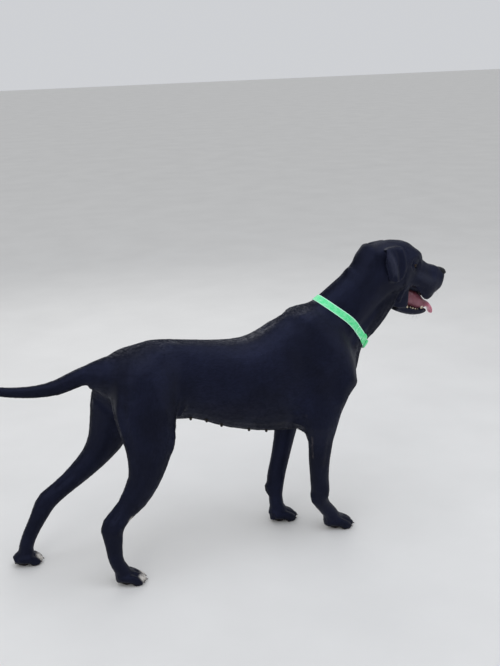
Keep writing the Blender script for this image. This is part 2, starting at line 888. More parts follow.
LEG_STROKES = tuple(Stroke(line, radius, height, mirrored=False) for line, radius, height in (
    # right hind: thigh muscles, kneecap, shin, hock, tendon groove
    (((150, -104, 590), (138, -124, 520), (146, -132, 450)), 14, -3.2),
    (((284, -118, 440), (280, -128, 408)), 16, 4.0),
    (((222, -142, 400), (190, -140, 340), (150, -136, 290)), 12, -2.6),
    (((112, -136, 262), (88, -134, 222)), 8, -4.5),
    (((110, -138, 196), (92, -142, 176)), 13, 3.0),
    (((112, -134, 150), (116, -136, 105)), 7, 1.6),
    (((84, -138, 140), (82, -140, 100)), 6, -2.2),
    # left hind, seen from inside and outside
    (((106, 108, 590), (98, 130, 520), (92, 134, 450)), 14, -3.2),
    (((216, 116, 440), (206, 126, 408)), 16, 4.0),
    (((20, 92, 282), (-24, 92, 250)), 8, -4.0),
    (((20, 128, 282), (-24, 130, 250)), 8, -4.0),
    (((-52, 134, 214), (-70, 136, 192)), 13, 3.0),
    # forelegs: inner and outer forearm grooves, wrist bones
    (((800, -130, 400), (794, -128, 330), (790, -120, 250)), 10, -2.4),
    (((766, -128, 380), (768, -124, 300)), 10, -1.8),
    (((800, -112, 165), (802, -110, 140)), 13, 3.0),
    (((770, -110, 150), (768, -108, 120)), 7, -2.0),
    (((776, 130, 400), (750, 126, 330), (728, 118, 250)), 10, -2.4),
    (((712, 44, 160), (708, 42, 140)), 12, 2.6),
    # elbow point
    (((722, -112, 432),), 18, 5.0),
    (((706, 112, 430),), 18, 5.0),
))

HEAD_STROKES = tuple(Stroke(line, radius, height, True, *mirrored) for line, radius, height, *mirrored in (
    # skull: cheek arch, temple, furrow of the forehead, brow
    (((-96, 62, -40), (-60, 58, -42), (-30, 46, -44)), 11, 3.2),
    (((-86, 52, 6), (-52, 46, 8)), 15, -3.4),
    (((-8, 0, 28), (-40, 0, 40), (-92, 0, 42)), 8, -2.6, False),
    (((-44, 40, -4), (-22, 37, 3), (-4, 28, 0)), 7, 2.2),
    (((-108, 62, -72), (-78, 58, -88), (-54, 50, -92)), 20, 3.5),
    # muzzle: ridge of the nose bone, hollow below the eye, groove above the lip
    (((6, 18, -4), (50, 18, -5), (92, 17, -6)), 6, 1.6),
    (((0, 40, -46), (26, 38, -42), (60, 34, -38)), 12, -2.4),
    (((116, 0, -30), (117, 0, -58)), 3.2, -2.0, False),
    (((104, 22, -30), (112, 12, -62)), 9, 2.0),
    (((20, 40, -66), (56, 40, -78), (88, 30, -86)), 10, 2.2),
    # rim of the lower lip and the loose upper lip's edge
    (((6, 33, -161), (44, 29, -163), (78, 20, -157), (95, 8, -153)), 4.5, 2.6),
    (((24, 42, -92), (54, 40, -106), (78, 32, -112), (100, 18, -98)), 6, 2.2),
    # folds behind the corner of the lips
    (((-24, 46, -84), (-32, 44, -118), (-30, 40, -150)), 5, 3.6),
    (((-36, 50, -84), (-44, 46, -120), (-42, 40, -152)), 5, -3.4),
    (((-8, 46, -84), (-2, 44, -94)), 4, -2.0),
    # crest of the neck behind the skull
    (((-200, 0, -36), (-210, 0, -64), (-226, 0, -98)), 30, 12.0, False),
    # loose skin of the throat
    (((-60, 26, -166), (-100, 30, -176), (-150, 34, -176)), 9, 3.0),
    (((-60, 0, -172), (-110, 0, -178)), 9, -2.5, False),
))

EAR_STROKES = tuple(Stroke(line, radius, height, True) for line, radius, height in (
    # folds that run down the leaf, with the hollow behind its front edge
    (((-149, 76, -4), (-130, 82, -30), (-111, 84, -52), (-90, 82, -88)), 6.5, 4.2),
    (((-124, 74, 8), (-106, 82, -18), (-94, 84, -46), (-80, 82, -74)), 5.5, -3.6),
    (((-104, 72, 10), (-88, 80, -18), (-76, 82, -48)), 5.5, 2.8),
    (((-158, 76, -22), (-140, 82, -52), (-120, 82, -80)), 6, -2.6),
))


@dataclass
class Eye:
    """One eye: the ball with its cornea, and the lids that the skin forms round it."""

    side: Side
    radius: float = EYE_RADIUS
    centre: tuple = EYE_CENTRE
    axis: tuple = (0.66, 0.74, 0.08)
    half_length: float = 12.0
    upper: float = 4.6
    lower: float = 4.8
    lid: float = 2.4
    # how far from the ball's middle the skin is shaped
    brim: float = 30.0
    cornea: float = 0.9

    def place(self) -> np.ndarray:
        """The middle of the ball in metres."""
        return in_head([self.centre[0], self.side.value * self.centre[1], self.centre[2]])

    def axes(self) -> np.ndarray:
        """Works out the eye's own directions.

        Returns:
            Three rows: towards the inner corner, up, and out of the eye.
        """
        out = np.array([self.axis[0], self.side.value * self.axis[1], self.axis[2]]) @ HEAD_AXES
        out /= np.linalg.norm(out)
        up = HEAD_AXES[2] - out * (HEAD_AXES[2] @ out)
        up /= np.linalg.norm(up)
        inner = np.cross(up, out) * self.side.value
        return np.array([inner, up, out])

    def form_lids(self, points: np.ndarray) -> np.ndarray:
        """Shapes the skin round the eye into two lids with an almond opening.

        Args:
            points: the skin's points in metres.

        Returns:
            The moved points.
        """
        local = (points - self.place()) @ self.axes().T / MM
        reach = np.linalg.norm(local, axis=1)
        near = (reach < self.brim) & (local[:, 2] > 0.15 * reach)
        part = local[near]
        r = reach[near]
        across = part[:, 0] / r * self.radius
        high = part[:, 1] / r * self.radius
        slant = 0.12 * across - 0.012 * across ** 2
        bow = 1 - (across / self.half_length) ** 2
        above = (high - slant) - self.upper * np.maximum(bow, -0.4)
        below = -self.lower * np.maximum(bow, -0.4) - (high - slant)
        gap = np.maximum(above, below)
        gap = np.where(bow < 0, np.maximum(gap, (np.abs(across) - self.half_length) * 0.9), gap)
        inside = self.radius - 3.5
        rim = self.radius + self.lid
        open_share = 1 - smoothstep(gap, -1.0, 0.3)
        rim_share = 1 - smoothstep(gap, 1.2, 9.0)
        wanted = r + (rim + 0.9 * np.exp(-((gap - 1.4) / 1.6) ** 2) - r) * rim_share
        wanted = wanted + (inside - wanted) * open_share
        moved = part * (wanted / r)[:, None]
        result = points.copy()
        result[near] = (moved * MM) @ self.axes() + self.place()
        return result

    def build(self, finishes: Finishes) -> bpy.types.Object:
        """Makes the ball with its slightly steeper cornea.

        Args:
            finishes: all the materials.

        Returns:
            The piece.
        """
        rings, around = 40, 48
        rows = []
        for i in range(rings + 1):
            angle = math.pi * i / rings
            out = self.radius * math.sin(angle)
            bulge = self.cornea * max(0.0, 1 - (angle / 0.62) ** 2)
            depth = self.radius * math.cos(angle) + bulge
            for k in range(around):
                turn = 2 * math.pi * k / around
                rows.append([out * math.cos(turn), out * math.sin(turn), depth])
        local = np.array(rows)
        points = (local * MM) @ self.axes() + self.place()
        faces = ring_faces(rings + 1, around)
        piece = new_object(f"eyeball_{self.side.name.lower()}", points, faces, [finishes.eye])
        away = np.hypot(local[:, 0], local[:, 1])
        set_attribute(piece.data, "axis_distance", np.where(local[:, 2] > 0, away, self.radius))
        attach(piece, BODY)
        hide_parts(f"eye_{self.side.name.lower()}")
        return piece


@dataclass
class Course:
    """A line that the coat lies along, from the nose backwards or down a limb, with a rough radius."""

    name: str
    line: tuple
    radius: float
    head: bool = False

    def points(self) -> np.ndarray:
        """The line's points in metres."""
        return (in_head if self.head else in_dog)(np.array(self.line, float))


COURSES = (
    Course("muzzle", ((116, 0, -40), (30, 0, -50), (-30, 0, -50)), 55, True),
    Course("skull", ((-30, 0, -30), (-100, 0, -40), (-170, 0, -60)), 75, True),
    Course("jaw", ((90, 0, -165), (0, 0, -170), (-80, 0, -150)), 40, True),
    Course("ear_right", ((-134, -62, 6), (-112, -84, -30), (-95, -82, -92)), 45, True),
    Course("ear_left", ((-134, 62, 6), (-112, 84, -30), (-95, 82, -92)), 45, True),
    Course("neck", ((1010, 0, 840), (948, 0, 743), (860, 0, 660)), 110),
    Course("chest", ((930, 0, 640), (890, 0, 520), (800, 0, 430)), 90),
    Course("trunk", ((860, 0, 600), (700, 0, 570), (400, 0, 580), (180, 0, 600)), 150),
    Course("tail", ((120, 0, 640), (28, 0, 621), (-75, 2, 602), (-180, 9, 615), (-342, 20, 686)), 30),
    Course("foreleg_right",
           ((820, -86, 560), (786, -96, 432), (779, -93, 270), (785, -82, 122), (856, -68, 20)), 50),
    Course("foreleg_left",
           ((820, 86, 560), (766, 96, 432), (731, 88, 270), (690, 68, 118), (712, 53, 20)), 50),
    Course("hindleg_right",
           ((214, -70, 600), (219, -102, 442), (162, -115, 268), (92, -122, 150), (130, -131, 20)), 70),
    Course("hindleg_left",
           ((190, 70, 600), (152, 98, 442), (42, 110, 279), (-90, 112, 155), (-140, 111, 20)), 70),
)

# Flesh added to the solids in the head frame: rows of x, y, z, half width, depth up and depth down.
CONCH = (
    (-132, 48, 2, 9, 13, 13), (-126, 57, -12, 8.5, 15, 15), (-120, 65, -32, 7, 14, 14),
    (-114, 70, -54, 4, 9, 9),
)
PALATE = (
    (-30, 0, -92, 22, 16, 14), (0, 0, -92, 24, 16, 18), (34, 0, -92, 23, 16, 18), (66, 0, -88, 20, 14, 18),
    (84, 0, -84, 14, 12, 12),
)
CHIN = ((64, 0, -166, 18, 8, 10), (84, 0, -161, 17, 8, 13), (98, 0, -156, 13, 8, 11), (106, 0, -154, 8, 5, 7))
FLEW = (
    (16, 37, -90, 4, 6, 6), (40, 35, -97, 5, 9, 9), (60, 32, -107, 6, 12, 12), (76, 28, -108, 6.5, 12, 12),
    (91, 19, -100, 6, 10, 9),
)
EAR_CAP = ((-148, 54, -12, 4, 4, 4), (-140, 56, -6, 7, 7, 7), (-124, 56, 3, 8, 8, 8), (-110, 54, 7, 7, 7, 7))
CONCH_FORE = np.array([0.88, 0.0, 0.47])
# The line along which each ear grows out of the skull.
EAR_ROOT = ((-168, 62, -2), (-142, 66, 8), (-112, 62, 16))


@dataclass
class Skin:
    """One skin over all the flesh, with the markings that the coat shares."""

    voxel: float = 3.0
    coat_depth: float = 1.5
    body_blur: float = 9.0
    head_blur: float = 3.6
    paw_blur: float = 3.0
    leg_blur: float = 6.0
    crown_blur: float = 9.0
    ear_blur: float = 4.6
    ear_root_blur: float = 10.0
    nape_blur: float = 12.0
    breast_blur: float = 12.0
    tail_blur: float = 4.5

    def gather(self) -> bpy.types.Object:
        """Joins copies of the flesh nodes and the added flesh into one object.

        Returns:
            The object.
        """
        joined = bmesh.new()
        for name in FLESH_NODES:
            joined.from_mesh(Frame.nodes[name].data)
        added = [(PALATE, UPWARD), (CHIN, UPWARD)]
        for side in Side:
            for form, fore in ((CONCH, CONCH_FORE), (FLEW, UPWARD), (EAR_CAP, UPWARD)):
                added.append(([(x, side.value * y, *rest) for x, y, *rest in form], fore))
        for stations, fore in added:
            points, faces = tube(stations, 12, 16, fore)
            corners = [joined.verts.new(point) for point in in_head(points)]
            for face in faces:
                joined.faces.new([corners[i] for i in face])
        mesh = bpy.data.meshes.new("skin")
        joined.to_mesh(mesh)
        joined.free()
        piece = bpy.data.objects.new("skin", mesh)
        bpy.context.scene.collection.objects.link(piece)
        return piece

    def remesh(self, piece: bpy.types.Object) -> None:
        """Turns the joined solids into one closed surface of small quads."""
        remesh = piece.modifiers.new("remesh", "REMESH")
        remesh.mode = "VOXEL"
        remesh.voxel_size = self.voxel * MM
        apply_modifiers(piece)

    def blur_at(self, points: np.ndarray) -> np.ndarray:
        """Works out how far the facets are blurred at each point.

        Args:
            points: rows in metres.

        Returns:
            A distance in millimetres for each point.
        """
        x, _, z = to_dog(points).T
        head = to_head(points)
        ahead, aside, above = head.T
        blur = np.full(len(points), self.body_blur)
        low = 1 - smoothstep(z, 330, 430)
        blur = blur + (self.leg_blur - blur) * low
        high = z > HEAD_LEVEL
        blur = blur + (self.head_blur - blur) * smoothstep(ahead, -215, -160) * high
        blur = blur + (self.paw_blur - blur) * (1 - smoothstep(z, 60, 100))
        mirrored = folded(head)
        crown = smoothstep(above, -26, -4) * smoothstep(-ahead, 10, 34) * (np.abs(aside) < 56)
        blur = np.where(high, blur + (np.maximum(blur, self.crown_blur) - blur) * crown, blur)
        ear = high & (mirrored[:, 1] > 62) & (ahead > -175) & (ahead < -56) & (above > -120)
        blur = np.where(ear, self.ear_blur, blur)
        root = np.exp(-(distance_to_line(mirrored, np.array(EAR_ROOT, float)) / 15) ** 2)
        blur = blur + (self.ear_root_blur - blur) * root * high
        nape = np.exp(-(np.linalg.norm(head - np.array([-205.0, 0.0, -24.0]), axis=1) / 44) ** 2)
        blur = blur + (self.nape_blur - blur) * nape
        breast = smoothstep(x, 800, 860) * (z < HEAD_LEVEL) * smoothstep(z, 360, 400)
        blur = blur + (self.breast_blur - blur) * breast
        tail = (x < 60) & (z > 560)
        return np.where(tail, self.tail_blur, blur)

    def soften(self, mesh: bpy.types.Mesh) -> None:
        """Takes the facets out without losing thickness: what the first blur took is blurred and given back.

        Args:
            mesh: the skin's mesh.
        """
        points = points_of(mesh)
        passes = 40
        strength = np.clip((self.blur_at(points) / self.voxel) ** 2 * 2 / passes, 0.0, 0.8)
        relaxer = Relaxer(mesh)
        smooth = relaxer.relax(points, passes, strength)
        smooth = smooth + relaxer.relax(points - smooth, passes, strength)
        low = to_dog(points)[:, 2] < 6
        smooth[low, 2] = points[low, 2]
        set_points(mesh, smooth)

    def refine(self, piece: bpy.types.Object, inside: Callable[[np.ndarray], np.ndarray]) -> None:
        """Splits the faces of a region once and relaxes the new points.

        Args:
            piece: the skin.
            inside: a function that says which points lie in the region.
        """
        mesh = piece.data
        chosen = inside(points_of(mesh))
        work = bmesh.new()
        work.from_mesh(mesh)
        edges = [e for e in work.edges if chosen[e.verts[0].index] and chosen[e.verts[1].index]]
        bmesh.ops.subdivide_edges(work, edges=edges, cuts=1, use_grid_fill=True)
        work.to_mesh(mesh)
        work.free()
        points = points_of(mesh)
        strength = inside(points) * 0.5
        set_points(mesh, Relaxer(mesh).relax(points, 3, strength))

    def sculpt(self, mesh: bpy.types.Mesh, strokes: tuple) -> None:
        """Raises and lowers the skin along strokes.

        Args:
            mesh: the skin's mesh.
            strokes: the strokes.
        """
        points = points_of(mesh)
        normals = normals_of(mesh)
        shift = np.zeros(len(points))
        for stroke in strokes:
            for line in stroke.lines():
                reach = stroke.radius * MM * 2.2
                near = np.all((points > line.min(0) - reach) & (points < line.max(0) + reach), axis=1)
                away = distance_to_line(points[near], line)
                shift[near] += stroke.height * MM * np.exp(-(away / (stroke.radius * MM)) ** 2)
        set_points(mesh, points + normals * shift[:, None])

    def shrink(self, mesh: bpy.types.Mesh) -> None:
        """Draws the skin in by the depth of the lying coat, but not at the soles.

        Args:
            mesh: the skin's mesh.
        """
        points = points_of(mesh)
        normals = normals_of(mesh)
        dog = to_dog(points)
        depth = self.coat_depth * smoothstep(dog[:, 2], 3, 14) * MM
        moved = points - normals * depth[:, None]
        moved[:, 2] = np.maximum(moved[:, 2], 0.0)
        set_points(mesh, moved)

    def lies(self, mesh: bpy.types.Mesh) -> np.ndarray:
        """Works out which way the coat lies at each point.

        Args:
            mesh: the skin's mesh.

        Returns:
            A direction for each point.
        """
        points = points_of(mesh)
        normals = normals_of(mesh)
        best = np.full(len(points), 1e9)
        lie = np.zeros((len(points), 3))
        self.course = np.zeros(len(points), int)
        for number, course in enumerate(COURSES):
            line = course.points()
            for a, b in zip(line[:-1], line[1:]):
                step = b - a
                t = np.clip(((points - a) @ step) / (step @ step), 0.0, 1.0)
                away = np.linalg.norm(points - a - t[:, None] * step, axis=1) / (course.radius * MM)
                nearer = away < best
                best = np.where(nearer, away, best)
                lie[nearer] = step / np.linalg.norm(step)
                self.course[nearer] = number
        lie -= normals * np.sum(lie * normals, 1)[:, None]
        lie = Relaxer(mesh).relax(lie, 40, 0.6)
        lie -= normals * np.sum(lie * normals, 1)[:, None]
        return lie / np.maximum(np.linalg.norm(lie, axis=1), 1e-6)[:, None]

    def mark(self, mesh: bpy.types.Mesh) -> None:
        """Stores the lie of the coat and the markings for the materials.

        Args:
            mesh: the skin's mesh.
        """
        points = points_of(mesh)
        self.lie = self.lies(mesh)
        share = np.abs(self.lie @ LIES.T) ** 14
        share /= share.sum(1)[:, None]
        for k, name in enumerate(("lie_a", "lie_b", "lie_c")):
            set_attribute(mesh, name, share[:, 3 * k:3 * k + 3])
        for name, values in markings(points).items():
            set_attribute(mesh, name, values)
        set_attribute(mesh, "tone", np.full(len(points), 0.5))

    def dress(self, mesh: bpy.types.Mesh, finishes: Finishes) -> None:
        """Gives each face coat, mouth lining or pad leather.

        Args:
            mesh: the skin's mesh.
            finishes: all the materials.
        """
        for material in (finishes.coat, finishes.mouth, finishes.pad):
            mesh.materials.append(material)
        centres = read_rows(mesh.polygons, "center")
        normals = read_rows(mesh.polygons, "normal")
        low = to_dog(centres)[:, 2]
        ahead, aside, above = to_head(centres).T
        index = np.zeros(len(centres), np.int32)
        mouth = (ahead > -40) & (ahead < 100) & (np.abs(aside) < 25) & (above < -84)
        mouth &= (above > -163) & (np.abs(aside) < 20 + 0.1 * (100 - ahead))
        facing = normals @ HEAD_AXES.T
        mouth &= (facing[:, 1] * np.sign(aside) < 0.3)
        mouth &= ~((above < -158) & (facing[:, 2] < 0.2))
        cheek = (ahead > -60) & (ahead < 70) & (np.abs(aside) < 38)
        cheek &= (above > -160) & (above < -88) & (facing[:, 1] * np.sign(aside) < -0.15)
        mouth |= cheek
        index[mouth] = 1
        index[(low < 13) & (normals[:, 2] < -0.35)] = 2
        mesh.polygons.foreach_set("material_index", index)
        mesh.polygons.foreach_set("use_smooth", np.ones(len(index), bool))
        mesh.update()

    def build(self, finishes: Finishes, eyes: list[Eye]) -> bpy.types.Object:
        """Builds the skin.

        Args:
            finishes: all the materials.
            eyes: the eyes that it forms lids for.

        Returns:
            The piece.
        """
        piece = self.gather()
        self.remesh(piece)
        self.soften(piece.data)
        self.sculpt(piece.data, BODY_STROKES)
        self.sculpt(piece.data, LEG_STROKES)
        self.refine(piece, lambda p: (to_head(p)[:, 0] > -175) & (to_dog(p)[:, 2] > HEAD_LEVEL))
        self.sculpt(piece.data, HEAD_STROKES + EAR_STROKES)
        self.shrink(piece.data)
        for eye in eyes:
            self.refine(piece, lambda p, e=eye: np.linalg.norm(p - e.place(), axis=1) < 24 * MM)
            set_points(piece.data, eye.form_lids(points_of(piece.data)))
        self.mark(piece.data)
        self.dress(piece.data, finishes)
        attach(piece, BODY)
        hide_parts(*FLESH_NODES)
        return piece


@dataclass(frozen=True)
class Patch:
    """A marking on the coat: a line with a radius that fades out, in dog-frame millimetres."""

    mask: str
    line: tuple
    radius: float
    strength: float = 1.0
    head: bool = False


def both_sides(mask: str, line: tuple, radius: float, strength: float) -> tuple[Patch, Patch]:
    """A marking on the head and its mirror image on the other side."""
    return tuple(Patch(mask, tuple((x, side.value * y, z) for x, y, z in line), radius, strength, True)
                 for side in Side)


PATCHES = (
    Patch("white", ((166, -157, 12), (160, -158, 26)), 11),
    Patch("white", ((178, -142, 12), (172, -142, 28)), 13),
    Patch("white", ((178, -121, 12), (170, -121, 26)), 12),
    Patch("white", ((-92, 98, 8), (-100, 98, 26)), 14),
    Patch("white", ((-88, 116, 8), (-96, 116, 26)), 14),
    Patch("white", ((-96, 134, 8), (-104, 134, 22)), 10),
    Patch("white", ((146, -129, 212), (134, -131, 184), (122, -133, 158)), 7.5),
    Patch("white", ((-166, 100, 34),), 4, 0.7),
    Patch("white", ((708, 58, 96), (712, 56, 78)), 5, 0.6),
    Patch("callus", ((716, -128, 436),), 11, 0.4),
    Patch("callus", ((741, -118, 358), (745, -110, 318), (748, -108, 284)), 6, 0.5),
    Patch("callus", ((704, 128, 432),), 11, 0.4),
    Patch("warm", ((560, -112, 470), (420, -92, 480)), 60, 0.35),
    Patch("warm", ((560, 112, 470), (420, 92, 480)), 60, 0.35),
    Patch("warm", ((120, 60, 420), (60, 80, 330)), 50, 0.3),
    Patch("white", ((92, -66, 656),), 4, 0.5),
    Patch("white", ((109, -66, 650),), 4, 0.5),
    *both_sides("bloom", ((-150, 78, -6), (-130, 84, -32), (-106, 86, -64)), 17, 0.6),
    *both_sides("bloom", ((10, 42, -50), (60, 38, -58), (98, 24, -56)), 26, 0.42),
    *both_sides("bloom", ((-34, 44, -6), (-8, 36, 0)), 10, 0.4),
    *both_sides("bloom", ((-22, 46, -84), (-30, 42, -140)), 8, 0.55),
)


def markings(points: np.ndarray) -> dict[str, np.ndarray]:
    """The strength of each marking at each point.

    Args:
        points: rows in metres.

    Returns:
        Numbers from 0 to 1 by the mask's name, with the mouth's shade.
    """
    found = {name: np.zeros(len(points)) for name in ("white", "warm", "callus", "bloom")}
    for patch in PATCHES:
        place = in_head if patch.head else in_dog
        away = distance_to_line(points, place(np.array(patch.line, float))) / (patch.radius * MM)
        found[patch.mask] = np.maximum(found[patch.mask], patch.strength * np.exp(-away ** 2 * 0.9))
    head = to_head(points)
    deep = 1 - smoothstep(head[:, 0], 50, 104)
    roof = smoothstep(head[:, 2], -128, -104) * (head[:, 0] < 90)
    found["shade"] = np.clip(np.maximum(0.86 * deep, roof), 0, 1)
    return found


# The small pieces of the head and feet

def tube(stations: list | tuple, rings: int, around: int, fore: np.ndarray,
         shape: Callable[[float, float, np.ndarray], np.ndarray] | None = None) -> tuple[np.ndarray, list]:
    """A closed tube with an elliptical section along a smooth line.

    Args:
        stations: rows of x, y, z, half width, depth up and depth down.
        rings: how many rings it has.
        around: how many points each ring has.
        fore: the direction that the depth is measured along.
        shape: changes a point's offset, from the share along, the angle and the offset.

    Returns:
        The points in the stations' own units, and the faces.
    """
    rows = spline(stations, rings)
    along = np.gradient(rows[:, :3], axis=0)
    along /= np.linalg.norm(along, axis=1)[:, None]
    points = []
    for i, (row, way) in enumerate(zip(rows, along)):
        up = fore - way * (fore @ way)
        up /= np.linalg.norm(up)
        side = np.cross(up, way)
        for k in range(around):
            turn = 2 * math.pi * k / around
            depth = row[4] if math.sin(turn) > 0 else row[5]
            offset = np.array([row[3] * math.cos(turn), depth * math.sin(turn)])
            if shape is not None:
                offset = shape(i / (rings - 1), turn, offset)
            points.append(row[:3] + side * offset[0] + up * offset[1])
    return np.array(points), ring_faces(rings, around)


def join_parts(parts: list[tuple[np.ndarray, list]]) -> tuple[np.ndarray, list]:
    """Puts several lists of points and faces into one.

    Args:
        parts: pairs of points and faces.

    Returns:
        All the points and all the faces.
    """
    points, faces, count = [], [], 0
    for part_points, part_faces in parts:
        points.append(part_points)
        faces += [tuple(i + count for i in face) for face in part_faces]
        count += len(part_points)
    return np.vstack(points), faces


@dataclass
class Nose:
    """The nose leather: a rounded block with two comma-shaped nostrils and a groove between them."""

    centre: tuple = (104.6, 0.0, -18.0)
    sizes: tuple = (19.0, 19.0, 14.0)
    nostril: tuple = (0.86, 0.46, -0.02)
    nostril_depth: float = 9.0

    def build(self, finishes: Finishes) -> bpy.types.Object:
        """Builds the piece from a ball, pushed into shape.

        Args:
            finishes: all the materials.

        Returns:
            The piece.
        """
        rings, around = 72, 96
        rows = []
        for i in range(rings + 1):
            a = math.pi * i / rings
            for k in range(around):
                b = 2 * math.pi * k / around
                rows.append([math.cos(a), math.sin(a) * math.cos(b), math.sin(a) * math.sin(b)])
        unit = np.array(rows)
        box = np.sign(unit) * np.abs(unit) ** 0.86
        box[:, 1] *= 1 - 0.24 * np.maximum(-box[:, 2], 0)
        points = box * np.array(self.sizes)
        push = np.zeros(len(unit))
        for s in (-1, 1):
            hole = np.array([self.nostril[0], s * self.nostril[1], self.nostril[2]])
            away = np.linalg.norm((unit - hole) * np.array([1, 1, 1.25]), axis=1)
            push += self.nostril_depth * (1 - smoothstep(away, 0.12, 0.3))
            slit = distance_to_line(unit, np.array([[0.84, s * 0.5, -0.12], [0.62, s * 0.74, -0.26],
                                                    [0.3, s * 0.93, -0.3]]))
            push += 3.6 * (1 - smoothstep(slit, 0.04, 0.15))
            wing = distance_to_line(unit, np.array([[0.74, s * 0.62, 0.14], [0.56, s * 0.8, -0.02]]))
            push -= 1.3 * np.exp(-(wing / 0.16) ** 2)
        groove = np.abs(unit[:, 1]) / 0.07
        push += 1.4 * np.exp(-groove ** 2) * (unit[:, 0] > 0) * (unit[:, 2] < 0.35)
        way = unit / np.linalg.norm(unit, axis=1)[:, None]
        points = points - way * push[:, None]
        place = in_head(points + np.array(self.centre))
        piece = new_object("nose_pad", place, ring_faces(rings + 1, around), [finishes.nose])
        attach(piece, BODY)
        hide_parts("nose")
        return piece


TONGUE = (
    (-10, 0, -132, 14, 14, 24), (20, 0, -126, 19, 28, 33), (48, 0, -128, 20, 23, 31),
    (74, 0, -132, 20, 13, 26), (97, 0, -133, 19, 8, 12), (115, 0, -143, 18, 5.5, 5.5),
    (127, 0, -159, 12, 4.5, 4.5),
)


@dataclass
class Tongue:
    """The tongue, thick in the mouth, thin and curled over the lip, with a furrow along its middle."""

    stations: tuple = TONGUE
    furrow: float = 2.2
    furrow_width: float = 4.5

    def section(self, share: float, turn: float, offset: np.ndarray) -> np.ndarray:
        """Lowers the middle of the top and rounds the two ends.

        Args:
            share: the share along the tongue.
            turn: the angle round its section.
            offset: the point's place in the section.

        Returns:
            The changed place.
        """
        close = math.sqrt(min(share / 0.06, 1.0))
        if share > 0.93:
            close = min(close, math.sqrt(max(1 - ((share - 0.93) / 0.07) ** 2, 0.0)))
        middle = math.exp(-(offset[0] / self.furrow_width) ** 2)
        drop = self.furrow * middle if math.sin(turn) > 0 else 0.0
        return np.array([offset[0], offset[1] - drop]) * max(close, 0.03)

    def build(self, finishes: Finishes) -> bpy.types.Object:
        """Builds the piece.

        Args:
            finishes: all the materials.

        Returns:
            The piece.
        """
        points, faces = tube(self.stations, 70, 40, UPWARD, self.section)
        piece = new_object("tongue_flesh", in_head(points), faces, [finishes.tongue])
        deep = 1 - smoothstep(points[:, 0], 76, 112)
        roof = smoothstep(points[:, 2], -130, -106) * (points[:, 0] < 84)
        set_attribute(piece.data, "shade", np.maximum(0.7 * deep, 0.97 * roof))
        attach(piece, BODY)
        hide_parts("tongue")
        return piece


@dataclass
class Teeth:
    """The lower teeth that the open mouth shows: two canines, six incisors and the first cheek teeth."""

    canine: float = 13.5
    cheek: tuple = ((63, 18.5), (53, 20.5), (42, 22.5), (30, 24), (17, 25.5))
    profile: tuple = ((-0.5, 0.8), (0.0, 1.0), (0.35, 0.86), (0.7, 0.55), (0.93, 0.25), (1.0, 0.06))

    def tooth(self, base: tuple, lean: tuple, length: float, width: float,
              thick: float) -> tuple[np.ndarray, list]:
        """One tapered tooth from its gum line to its tip.

        Args:
            base: the middle of the gum line in the head frame.
            lean: the direction of the tip.
            length: its height above the gum.
            width: half its width along the jaw.
            thick: half its thickness across the jaw.

        Returns:
            Its points and faces.
        """
        way = np.array(lean, float)
        way /= np.linalg.norm(way)
        rows = []
        for t, w in self.profile:
            rows.append([*(np.array(base, float) + way * length * t), thick * w, width * w, width * w])
        return tube(rows, 16, 14, FORWARD)

    def build(self, finishes: Finishes) -> bpy.types.Object:
        """Builds all the teeth as one piece.

        Args:
            finishes: all the materials.

        Returns:
            The piece.
        """
        parts = []
        for s in (-1, 1):
            parts.append(self.tooth((76, s * 14.5, -150), (0.16, s * 0.14, 1), self.canine, 4.2, 3.4))
            for i in range(3):
                gum = (86 - 0.5 * i * i, s * (2.2 + 4.1 * i), -151)
                parts.append(self.tooth(gum, (0.3, 0, 1), 6, 1.6, 2.0))
            for x, y in self.cheek:
                parts.append(self.tooth((x, s * y, -164), (0, s * 0.05, 1), 7.5, 4.6, 2.6))
        points, faces = join_parts(parts)
        piece = new_object("lower_teeth", in_head(points), faces, [finishes.tooth])
        set_attribute(piece.data, "growth", smoothstep(points[:, 2], -152, -140))
        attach(piece, BODY)
        return piece


# Right fore, left fore, right hind and left hind: place, turn in degrees and scale.
PAWS = ((856, -68, -6, 1.0), (706, 53, 4, 1.0), (130, -131, -5, 0.93), (-140, 111, 8, 0.93))
# Each toe's place across the paw and how far it reaches.
TOES = ((-30, -13), (-11, 0), (11, 0), (30, -13))


@dataclass
class Claws:
    """The sixteen claws: short, blunt, curved down, standing out of the toe ends."""

    radius: float = 4.6
    length: float = 11.5

    def build(self, finishes: Finishes) -> bpy.types.Object:
        """Builds all the claws as one piece.

        Args:
            finishes: all the materials.

        Returns:
            The piece.
        """
        parts, growth = [], []
        for x, y, turn, scale in PAWS:
            cosine, sine = math.cos(math.radians(turn)), math.sin(math.radians(turn))
            axes = np.array([[cosine, sine, 0], [-sine, cosine, 0], [0, 0, 1]]) * scale
            for side, reach in TOES:
                rows = []
                for t in np.linspace(0, 1, 7):
                    r = self.radius * (1 - 0.72 * t ** 1.5)
                    along = reach + 38 + (4 + self.length) * t
                    rows.append([along, side, 15.5 - 9.2 * t ** 1.6, r * 0.8, r, r])
                points, faces = tube(rows, 18, 14, UPWARD)
                parts.append((in_dog(points @ axes + np.array([x, y, 0.0])), faces))
                growth.append(np.repeat(np.linspace(0, 1, 18), 14))
        points, faces = join_parts(parts)
        piece = new_object("claws", points, faces, [finishes.claw])
        set_attribute(piece.data, "growth", np.concatenate(growth))
        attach(piece, BODY)
        return piece


# The collar

